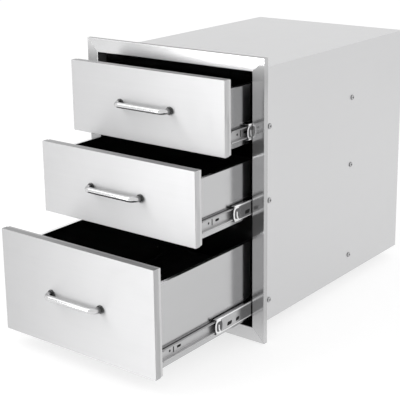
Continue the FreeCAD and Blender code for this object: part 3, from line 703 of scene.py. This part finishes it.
def plated(
    name, rgb, roughness, *, size=900.0, spots=0.5, wear=0.5, reach=0.006, shut=0.25, painted_light=None,
    metal=1.0,
):
    """Bright plating: a faint peel, dull spots, rubbed edges and painted shade in crevices.

    Where the painted light mask is given, a function of the node tree, painted shade darkens it
    too.
    """
    material, tree, shader = new_material(name)
    shader.inputs["Metallic"].default_value = metal
    skin = use_group(tree, "plating", Size=size)
    edge = use_group(tree, "edge_wear", Radius=0.0004)["Edge"]
    marks = use_group(tree, "handling", Size=22.0)
    closed = use_group(tree, "crevices", Reach=reach, Shut=shut)["Closed"]
    spotted = times(tree, skin["Spots"], SPOT_MOST * spots)
    paint = blend(tree, spotted, shade(rgb, 1.0), shade(rgb, SPOT_SHADE))
    # Painted shade over the mask, and in the crevices below.
    if painted_light:
        paint = blend(tree, painted_light(tree), paint, shade(rgb, PAINTED_SHADE))
    paint = blend(tree, closed, paint, shade(rgb, CREVICE_SHADE))
    paint = blend(tree, times(tree, edge, RUBBED_MOST * wear), paint, shade(rgb, RUBBED_SHADE))
    feed(tree, shader.inputs["Base Color"], paint)
    rough = times_plus(tree, skin["Spots"], SPOT_ROUGH * spots, roughness)
    rough = times_plus(tree, marks["Smears"], TOUCHED_ROUGH, rough, clamp=True)
    feed(tree, shader.inputs["Roughness"], rough)
    add_bump(tree, shader, skin["Peel"], strength=0.25, distance=0.00003)
    return material


def mat_rubber(name, rgb):
    """Matt rubber or plastic with a fine pebbled skin and some dust."""
    material, tree, shader = new_material(name)
    shader.inputs["Specular IOR Level"].default_value = 0.25
    peel = use_group(tree, "plating", Size=1400.0)["Peel"]
    clouds = use_group(tree, "handling", Size=9.0)["Clouds"]
    dusty = blend(tree, times(tree, clouds, DUST_MOST), shade(rgb, 1.0), DUST)
    feed(tree, shader.inputs["Base Color"], dusty)
    feed(tree, shader.inputs["Roughness"], from_noise(tree, peel, 0.62, 0.85))
    add_bump(tree, shader, peel, strength=0.5, distance=0.00012)
    return material


def give(node_names, material):
    """Puts a material on CAD nodes."""
    for name in node_names:
        data = NODES[name].data
        data.materials.clear()
        data.materials.append(material)


def nodes_of(slot):
    """The CAD nodes that take their finish from a slot."""
    return sorted(name for name in NODES if SLOT_OF[name] == slot)


# The steps, one for each group of like pieces


class DRAWERUNIT_OT_face_frame(bpy.types.Operator):
    """Finishes the face frame: the grain runs along each rail and stile and meets at the mitres"""

    bl_idname = "drawer_unit.face_frame"
    bl_label = "Face frame"

    def execute(self, context):
        steel = context.scene.drawer_unit_steel
        # The rails get painted shade where they face up.
        rails = brushed_steel(
            "frame_steel_rails", tuple(steel.rail), steel.rail_gloss, "X", steel.brushing,
            grain=1.2, painted_light=partial(upward, most=RAIL_PAINTED_SHADE),
        )
        give(("frame_top_rail", "frame_bottom_rail"), rails)
        low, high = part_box("frame_right_stile")

        def top(tree):
            """A mask near the top of a stile, beside the mitre."""
            start, end = (high.z - down for down in STILE_HAZE)
            return times(tree, span(tree, UP, start, end), HAZE_MOST)

        def middle(tree, most):
            """A mask of painted shade, most along the middle of a stile and fading out at its
            ends.
            """
            above = span(tree, UP, *(low.z + up for up in STILE_FOOT))
            below = span(tree, UP, *(high.z - down for down in STILE_HEAD))
            return times(tree, times(tree, above, below), most)

        # Painted shade along the stiles, stronger on the left stile than on the right.
        for side, most in STILE_PAINTED_SHADE.items():
            stile = brushed_steel(
                f"frame_steel_{side}_stile", tuple(steel.stile), steel.stile_gloss, "Z",
                steel.stile_brushing, grain=1.2, satin=steel.stile_satin,
                painted_light=partial(middle, most=most), haze=top if side == "right" else None,
            )
            give([f"frame_{side}_stile"], stile)
        return {"FINISHED"}


class DRAWERUNIT_OT_cabinet(bpy.types.Operator):
    """Finishes the cabinet in plain mill sheet"""

    bl_idname = "drawer_unit.cabinet"
    bl_label = "Cabinet"

    def execute(self, context):
        steel = context.scene.drawer_unit_steel
        # Painted shade in the cabinet's crevices, such as round the screw heads.
        sheet = brushed_steel(
            "cabinet_sheet", tuple(steel.cabinet), steel.sheet_gloss, "Y",
            steel.cabinet_brushing, grain=0.3, wear=0.8, size=3.0, reach=0.006, crevice_shading=0.9,
        )
        give(nodes_of("cabinet_steel"), sheet)
        return {"FINISHED"}


class DRAWERUNIT_OT_fronts(bpy.types.Operator):
    """Finishes the drawer fronts: brushed skins, and plainer liners behind them"""

    bl_idname = "drawer_unit.fronts"
    bl_label = "Drawer fronts"

    def execute(self, context):
        steel = context.scene.drawer_unit_steel

        def fold_shade(tree):
            """A mask of painted shade over the top fold, which mirrors the dark inside, stronger
            to the right.
            """
            left, right = FOLD_PAINTED_SHADE
            across = span(tree, RIGHT, *FOLD_ACROSS)
            return upward(tree, times_plus(tree, across, right - left, left))

        for number, drawer in enumerate(DRAWERS):
            # The tone paints each front lighter or darker: painted light.
            paint = tuple(part * steel.tone[number] for part in steel.front)
            skin = brushed_steel(
                f"front_steel_{drawer}", paint, steel.front_gloss, "X", steel.front_brushing,
                size=4.0, shift=3.7 * number, satin=steel.front_satin, painted_light=fold_shade,
            )
            give([f"{drawer}_front_skin"], skin)
        # The liners get the painted shade of the fold too.
        liner = brushed_steel(
            "liner_steel", tuple(steel.liner), steel.sheet_gloss, "X", steel.brushing,
            grain=0.7, satin=steel.liner_satin, painted_light=fold_shade,
        )
        give(nodes_of("liner_steel"), liner)
        return {"FINISHED"}


class DRAWERUNIT_OT_trays(bpy.types.Operator):
    """Finishes the trays in plain sheet with a faint grain along their sides"""

    bl_idname = "drawer_unit.trays"
    bl_label = "Trays"

    def execute(self, context):
        steel = context.scene.drawer_unit_steel
        # A painted highlight where the trays face up.
        sheet = brushed_steel(
            "tray_sheet", tuple(steel.tray), steel.tray_gloss, "Y", steel.brushing,
            grain=0.7, reach=0.008, painted_light=upward, painted_factor=steel.flange_highlight,
        )
        give(nodes_of("tray_steel"), sheet)
        return {"FINISHED"}


class DRAWERUNIT_OT_mats(bpy.types.Operator):
    """Lays a ribbed black mat in each tray"""

    bl_idname = "drawer_unit.mats"
    bl_label = "Drawer mats"

    def execute(self, context):
        mats = context.scene.drawer_unit_mats
        rubber = mat_rubber("mat_rubber", tuple(mats.rubber))
        for drawer in DRAWERS:
            low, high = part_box(f"{drawer}_drawer_tray")
            half = high.x - SHEET - mats.gap
            floor = low.z + SHEET
            # Across the tray the top line is the square of a raised cosine, one rib a pitch.
            ribs = max(1, round(2 * half / mats.pitch))
            across = np.linspace(-half, half, ribs * RIB_POINTS + 1)
            turn = 2 * math.pi * (across + half) * ribs / (2 * half)
            rise = mats.thickness + mats.rib * (0.5 - 0.5 * np.cos(turn)) ** 2
            top = np.stack([across, floor + rise], axis=1)
            bottom = np.array([[half, floor], [-half, floor]])
            outline = np.concatenate([top, bottom])
            start = low.y + SHEET + mats.gap
            end = high.y - SHEET - mats.gap
            piece = mesh_piece(f"{drawer}_drawer_mat", [extrusion(outline, start, end)])
            piece.data.materials.append(rubber)
            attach(piece, f"{drawer}_drawer")
        return {"FINISHED"}


class DRAWERUNIT_OT_handles(bpy.types.Operator):
    """Chromes the bow handles"""

    bl_idname = "drawer_unit.handles"
    bl_label = "Handles"

    def execute(self, context):
        handles = context.scene.drawer_unit_handles

        def feet_shade(tree, face):
            """A mask of painted shade that grows from the bar to the front that its feet stand on.
            """
            start, end = (face - out for out in HANDLE_FEET)
            return times(tree, span(tree, BACK, start, end), handles.feet_shade)

        for drawer in DRAWERS:
            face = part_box(f"{drawer}_front_skin")[0].y
            # The chrome gets painted shade on its feet and in its crevices.
            chrome = plated(
                f"handle_chrome_{drawer}", tuple(handles.chrome), handles.gloss,
                size=700.0, spots=0.3, reach=0.007, shut=0.5, painted_light=partial(feet_shade, face=face),
            )
            give([f"{drawer}_drawer_handle"], chrome)
        return {"FINISHED"}


class DRAWERUNIT_OT_slides(bpy.types.Operator):
    """Plates the slides and cages, and adds the middle members' bumpers, pale beads as a painted
    highlight and near-black plates of painted shade in the holes
    """

    bl_idname = "drawer_unit.slides"
    bl_label = "Slides"

    def execute(self, context):
        slides = context.scene.drawer_unit_slides
        zinc = plated("slide_zinc", tuple(slides.zinc), slides.gloss, size=500.0, spots=0.8)
        give(nodes_of("slide_zinc"), zinc)
        inner = plated(
            "inner_zinc", tuple(slides.inner), slides.inner_gloss, size=500.0, reach=0.003,
            metal=slides.inner_metal,
        )
        give([name for name in NODES if name.endswith("slide_inner")], inner)
        for drawer in DRAWERS:
            low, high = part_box(f"{drawer}_right_slide_middle")
            # Painted shade over each middle member's web near the cabinet.
            web = plated(
                f"middle_zinc_{drawer}", tuple(slides.zinc), slides.gloss, size=500.0, spots=0.8,
                painted_light=partial(self.web_shade, middle=(low.z + high.z) / 2, most=slides.web_shade),
            )
            give([f"{drawer}_{side}_slide_middle" for side in SIDES], web)
        balls = plated(
            "ball_steel", tuple(slides.balls), slides.ball_gloss, size=1500.0, spots=0.2
        )
        give(nodes_of("ball_steel"), balls)
        # Pale polished colour for the bumper bars, and a painted highlight on the beads.
        bright = plated(
            "polished_race", tuple(slides.polished), slides.race_gloss, size=500.0, spots=0.3
        )
        plastic = mat_rubber("nose_insert", tuple(slides.insert))
        # Near-black plates of painted shade for the factory holes.
        black = mat_rubber("hole_plug", tuple(slides.hole_shade))
        for drawer in DRAWERS:
            for side_name, side in SIDES.items():
                self.add_nose(slides, drawer, side_name, side, bright, plastic)
                self.add_hole_shades(drawer, side_name, side, black)
        return {"FINISHED"}

    def web_shade(self, tree, middle, most):
        """Painted shade over the part of a middle member's web that stays in or near the cabinet.
        """
        back = span(tree, BACK, WEB_SHADE_FRONT - WEB_SHADE_FADE, WEB_SHADE_FRONT + WEB_SHADE_FADE)
        shaded_web = times(tree, back, most)
        for way in (1.0, -1.0):
            edge = way * middle + WEB_HALF
            inside = span(tree, (0.0, 0.0, way), edge + WEB_FADE, edge - WEB_FADE)
            shaded_web = times(tree, shaded_web, inside)
        return shaded_web

    def add_nose(self, slides, drawer, side_name, side, bright, plastic):
        """The beads of a middle member, pale as a painted highlight, and the bumper on the outside
        of its front end.

        A bar follows the front of the bumper's superellipse as an open C, a shorter bar stands
        behind it, and the insert is the superellipse as a thin plate that is let into the web.
        The beads are round bars along both folds.
        """
        low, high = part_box(f"{drawer}_{side_name}_slide_middle")
        web = high.x if side > 0 else low.x
        height = (low.z + high.z) / 2
        bar = slides.nose_bar / 2
        half_long = slides.nose_length / 2 - bar
        half_high = slides.nose_height / 2 - bar
        middle = low.y + half_long + bar
        proud = slides.nose_proud
        front = self.loop(arc(*FRONT_ARC), middle, height, half_long, half_high, web)
        rear = self.loop(
            arc(*REAR_ARC), middle + REAR_BACK * half_long, height,
            REAR_LONG * half_long, REAR_HIGH * half_high, web,
        )
        grids = [swept_bar(*line, bar, proud) for line in (front, rear)]
        radius = slides.bead / 2
        inset = BEAD_INSET * radius
        along = np.linspace(low.y + BEAD_START * half_long, high.y, BEAD_RINGS)
        for up in (low.z + inset, high.z - inset):
            centre = np.stack(
                [np.full_like(along, web - side * inset), along, np.full_like(along, up)],
                axis=1,
            )
            normal = np.tile(UP, (len(along), 1))
            grids.append(swept_bar(centre, normal, radius, radius))
        bars = mesh_piece(f"{drawer}_{side_name}_slide_nose", grids)
        bars.data.materials.append(bright)
        turn = full_turn(INSERT_POINTS)
        outline = self.loop(turn, middle, height, half_long, half_high, web)[0]
        plate = self.plate(f"{drawer}_{side_name}_nose_insert", outline, side, -proud, proud / 4)
        plate.data.materials.append(plastic)
        for piece in (bars, plate):
            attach(piece, f"{drawer}_slide_middles")

    def add_hole_shades(self, drawer, side_name, side, black):
        """Near-black plates of painted shade let into the factory holes near the front ends of two
        members.

        Each is the superellipse of the bumper as a plate. HOLES gives the middle of each hole
        behind the member's front end and above its middle, and half its length and height.
        """
        turn = full_turn(HOLE_SHADE_POINTS)
        for member, (body, holes) in HOLES.items():
            low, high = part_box(f"{drawer}_{side_name}_slide_{member}")
            outside = member == "middle"
            web = high.x if (side > 0) == outside else low.x
            bottom = -SLIDE_SHEET if outside else 0.0
            height = (low.z + high.z) / 2
            for number, (back, up, half_long, half_high) in enumerate(holes, start=1):
                outline = self.loop(turn, low.y + back, height + up, half_long, half_high, web)[0]
                name = f"{drawer}_{side_name}_{member}_plug_{number}"
                hole_shade = self.plate(name, outline, side, bottom, bottom + HOLE_SHADE_DEPTH)
                hole_shade.data.materials.append(black)
                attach(hole_shade, f"{drawer}_{body}")

    def plate(self, name, outline, side, sunk, top):
        """A flat plate of an outline in the slide's plane, between two depths of it."""
        rings = [outline + (side * deep, 0.0, 0.0) for deep in (sunk, top)]
        return mesh_piece(name, [np.stack(rings)], smooth=False)

    def loop(self, angle, middle, height, half_long, half_high, across):
        """Points of a superellipse in the slide's plane, and its outward normals.

        At the angle a the point lies cos(a) back and sin(a) up, each drawn out towards the
        corners by the power SQUARED, times the half length and half height. The normal points
        cos(a) back and sin(a) up.
        """
        cosine, sine = np.cos(angle), np.sin(angle)
        along = middle + half_long * np.sign(cosine) * np.abs(cosine) ** SQUARED
        up = height + half_high * np.sign(sine) * np.abs(sine) ** SQUARED
        centre = np.stack([np.full_like(along, across), along, up], axis=1)
        normal = np.stack([np.zeros_like(along), cosine, sine], axis=1)
        return centre, normal


class DRAWERUNIT_OT_screws(bpy.types.Operator):
    """Finishes the screws"""

    bl_idname = "drawer_unit.screws"
    bl_label = "Screws"

    def execute(self, context):
        screws = context.scene.drawer_unit_screws
        zinc = plated("screw_steel", tuple(screws.zinc), screws.gloss, size=1200.0, spots=0.8)
        give(nodes_of("screw_steel"), zinc)
        return {"FINISHED"}


class DRAWERUNIT_OT_studio(bpy.types.Operator):
    """Builds the floor, the room light, the lamps and the camera"""

    bl_idname = "drawer_unit.studio"
    bl_label = "Studio"

    def execute(self, context):
        studio = context.scene.drawer_unit_studio
        self.add_floor(studio)
        self.light_room(context.scene, studio)
        for setting, (name, place, size) in SOFT_BOXES.items():
            self.add_soft_box(name, place, size, getattr(studio, setting))
        self.add_pool(studio.pool)
        self.add_camera(context.scene)
        return {"FINISHED"}

    def add_floor(self, studio):
        """A flat grid of four points that the unit stands on."""
        corners = np.array([[-1, -1], [1, -1], [1, 1], [-1, 1]]) * FLOOR_HALF
        mesh = bpy.data.meshes.new("studio_floor")
        points = np.column_stack([corners, np.full(4, CAD_LOW.z - FLOOR_GAP)])
        mesh.from_pydata(points.tolist(), [], [[0, 1, 2, 3]])
        floor = bpy.data.objects.new("studio_floor", mesh)
        bpy.context.scene.collection.objects.link(floor)
        material, tree, shader = new_material("studio_floor")
        clouds = use_group(tree, "handling", Size=1.5)["Clouds"]
        paint = tuple(studio.floor)
        clouded = blend(tree, clouds, shade(paint, 0.985), shade(paint, 1.0))
        feed(tree, shader.inputs["Base Color"], clouded)
        shader.inputs["Roughness"].default_value = 0.9
        shader.inputs["Specular IOR Level"].default_value = 0.0
        shader.inputs["Emission Strength"].default_value = studio.glow
        glowing = blend(tree, seen_rays(tree), BLACK, WHITE)
        feed(tree, shader.inputs["Emission Color"], glowing)
        mesh.materials.append(material)

    def light_room(self, scene, studio):
        """A pale room: white where it is seen, also in metal, and plainer where it only lights."""
        world = bpy.data.worlds.new("studio_room")
        scene.world = world
        world.use_nodes = True
        tree = world.node_tree
        tree.nodes.clear()
        seen = seen_rays(tree)
        light = tree.nodes.new("ShaderNodeBackground")
        light.inputs["Strength"].default_value = studio.ambient
        white = tree.nodes.new("ShaderNodeBackground")
        for background in (light, white):
            background.inputs["Color"].default_value = WHITE
        mix = tree.nodes.new("ShaderNodeMixShader")
        feed(tree, mix.inputs[0], seen)
        feed(tree, mix.inputs[1], light.outputs[0])
        feed(tree, mix.inputs[2], white.outputs[0])
        output = tree.nodes.new("ShaderNodeOutputWorld")
        feed(tree, output.inputs["Surface"], mix.outputs[0])

    def add_soft_box(self, name, place, size, watts):
        """A square lamp that faces the middle of the unit."""
        lamp = bpy.data.lights.new(name, "AREA")
        lamp.shape = "SQUARE"
        lamp.size = size
        thing = self.place_lamp(lamp, place, watts)
        towards = (CAD_LOW + CAD_HIGH) / 2 - Vector(place)
        thing.rotation_euler = towards.to_track_quat("-Z", "Y").to_euler()

    def add_pool(self, watts):
        """A spot lamp that faces down, for a soft pool of light in front of the unit."""
        lamp = bpy.data.lights.new("pool_lamp", "SPOT")
        lamp.spot_size, lamp.spot_blend = math.radians(POOL_CONE), 1.0
        lamp.shadow_soft_size = POOL_SOFT
        self.place_lamp(lamp, POOL_PLACE, watts)

    def place_lamp(self, lamp, place, watts):
        """Puts a lamp in the studio, out of the camera's sight."""
        lamp.energy = watts
        thing = bpy.data.objects.new(lamp.name, lamp)
        thing.location = place
        thing.visible_camera = False
        bpy.context.scene.collection.objects.link(thing)
        return thing

    def add_camera(self, scene):
        """The photograph's camera: yaw turns it left, pitch down, and roll about its axis."""
        yaw, pitch, roll = (math.radians(a) for a in (CAMERA_YAW, CAMERA_PITCH, CAMERA_ROLL))
        ahead = Vector((
            -math.sin(yaw) * math.cos(pitch), math.cos(yaw) * math.cos(pitch), -math.sin(pitch)
        ))
        level = Vector((math.cos(yaw), math.sin(yaw), 0.0))
        upright = level.cross(ahead)
        right = math.cos(roll) * level + math.sin(roll) * upright
        above = -math.sin(roll) * level + math.cos(roll) * upright
        data = bpy.data.cameras.new("photo_camera")
        data.lens = CAMERA_LENS
        data.sensor_width = CAMERA_SENSOR
        data.shift_y = CAMERA_SHIFT
        data.clip_start, data.clip_end = CAMERA_CLIP
        camera = bpy.data.objects.new("photo_camera", data)
        camera.matrix_world = Matrix((
            (right.x, above.x, -ahead.x, CAMERA_PLACE[0]),
            (right.y, above.y, -ahead.y, CAMERA_PLACE[1]),
            (right.z, above.z, -ahead.z, CAMERA_PLACE[2]),
            (0.0, 0.0, 0.0, 1.0),
        ))
        scene.collection.objects.link(camera)
        scene.camera = camera
        scene.view_settings.view_transform = "Standard"


SETTINGS = {
    "drawer_unit_steel": SteelSettings,
    "drawer_unit_slides": SlideSettings,
    "drawer_unit_handles": HandleSettings,
    "drawer_unit_screws": ScrewSettings,
    "drawer_unit_mats": MatSettings,
    "drawer_unit_studio": StudioSettings,
}
STEPS = (
    DRAWERUNIT_OT_face_frame,
    DRAWERUNIT_OT_cabinet,
    DRAWERUNIT_OT_fronts,
    DRAWERUNIT_OT_trays,
    DRAWERUNIT_OT_mats,
    DRAWERUNIT_OT_handles,
    DRAWERUNIT_OT_slides,
    DRAWERUNIT_OT_screws,
    DRAWERUNIT_OT_studio,
)


class DRAWERUNIT_PT_sidebar(bpy.types.Panel):
    """Settings and steps of the drawer unit"""

    bl_idname = "DRAWERUNIT_PT_sidebar"
    bl_label = "Drawer unit"
    bl_space_type = "VIEW_3D"
    bl_region_type = "UI"
    bl_category = "Drawer unit"

    def draw(self, context):
        layout = self.layout
        for name, group in SETTINGS.items():
            box = layout.box()
            box.label(text=name.rsplit("_", 1)[-1].capitalize())
            for field in group.__annotations__:
                box.prop(getattr(context.scene, name), field)
        for step in STEPS:
            layout.operator(step.bl_idname)


def register():
    """Registers the settings, the steps and the panel."""
    for group in SETTINGS.values():
        bpy.utils.register_class(group)
    for name, group in SETTINGS.items():
        setattr(bpy.types.Scene, name, bpy.props.PointerProperty(type=group))
    for item in (*STEPS, DRAWERUNIT_PT_sidebar):
        bpy.utils.register_class(item)


def unregister():
    """Takes them out again."""
    for item in reversed((*STEPS, DRAWERUNIT_PT_sidebar)):
        bpy.utils.unregister_class(item)
    for name in SETTINGS:
        delattr(bpy.types.Scene, name)
    for group in SETTINGS.values():
        bpy.utils.unregister_class(group)


def main():
    """Builds everything in order."""
    register()
    make_groups()
    for step in STEPS:
        group, name = step.bl_idname.split(".")
        getattr(getattr(bpy.ops, group), name)()


if __name__ == "__main__":
    main()
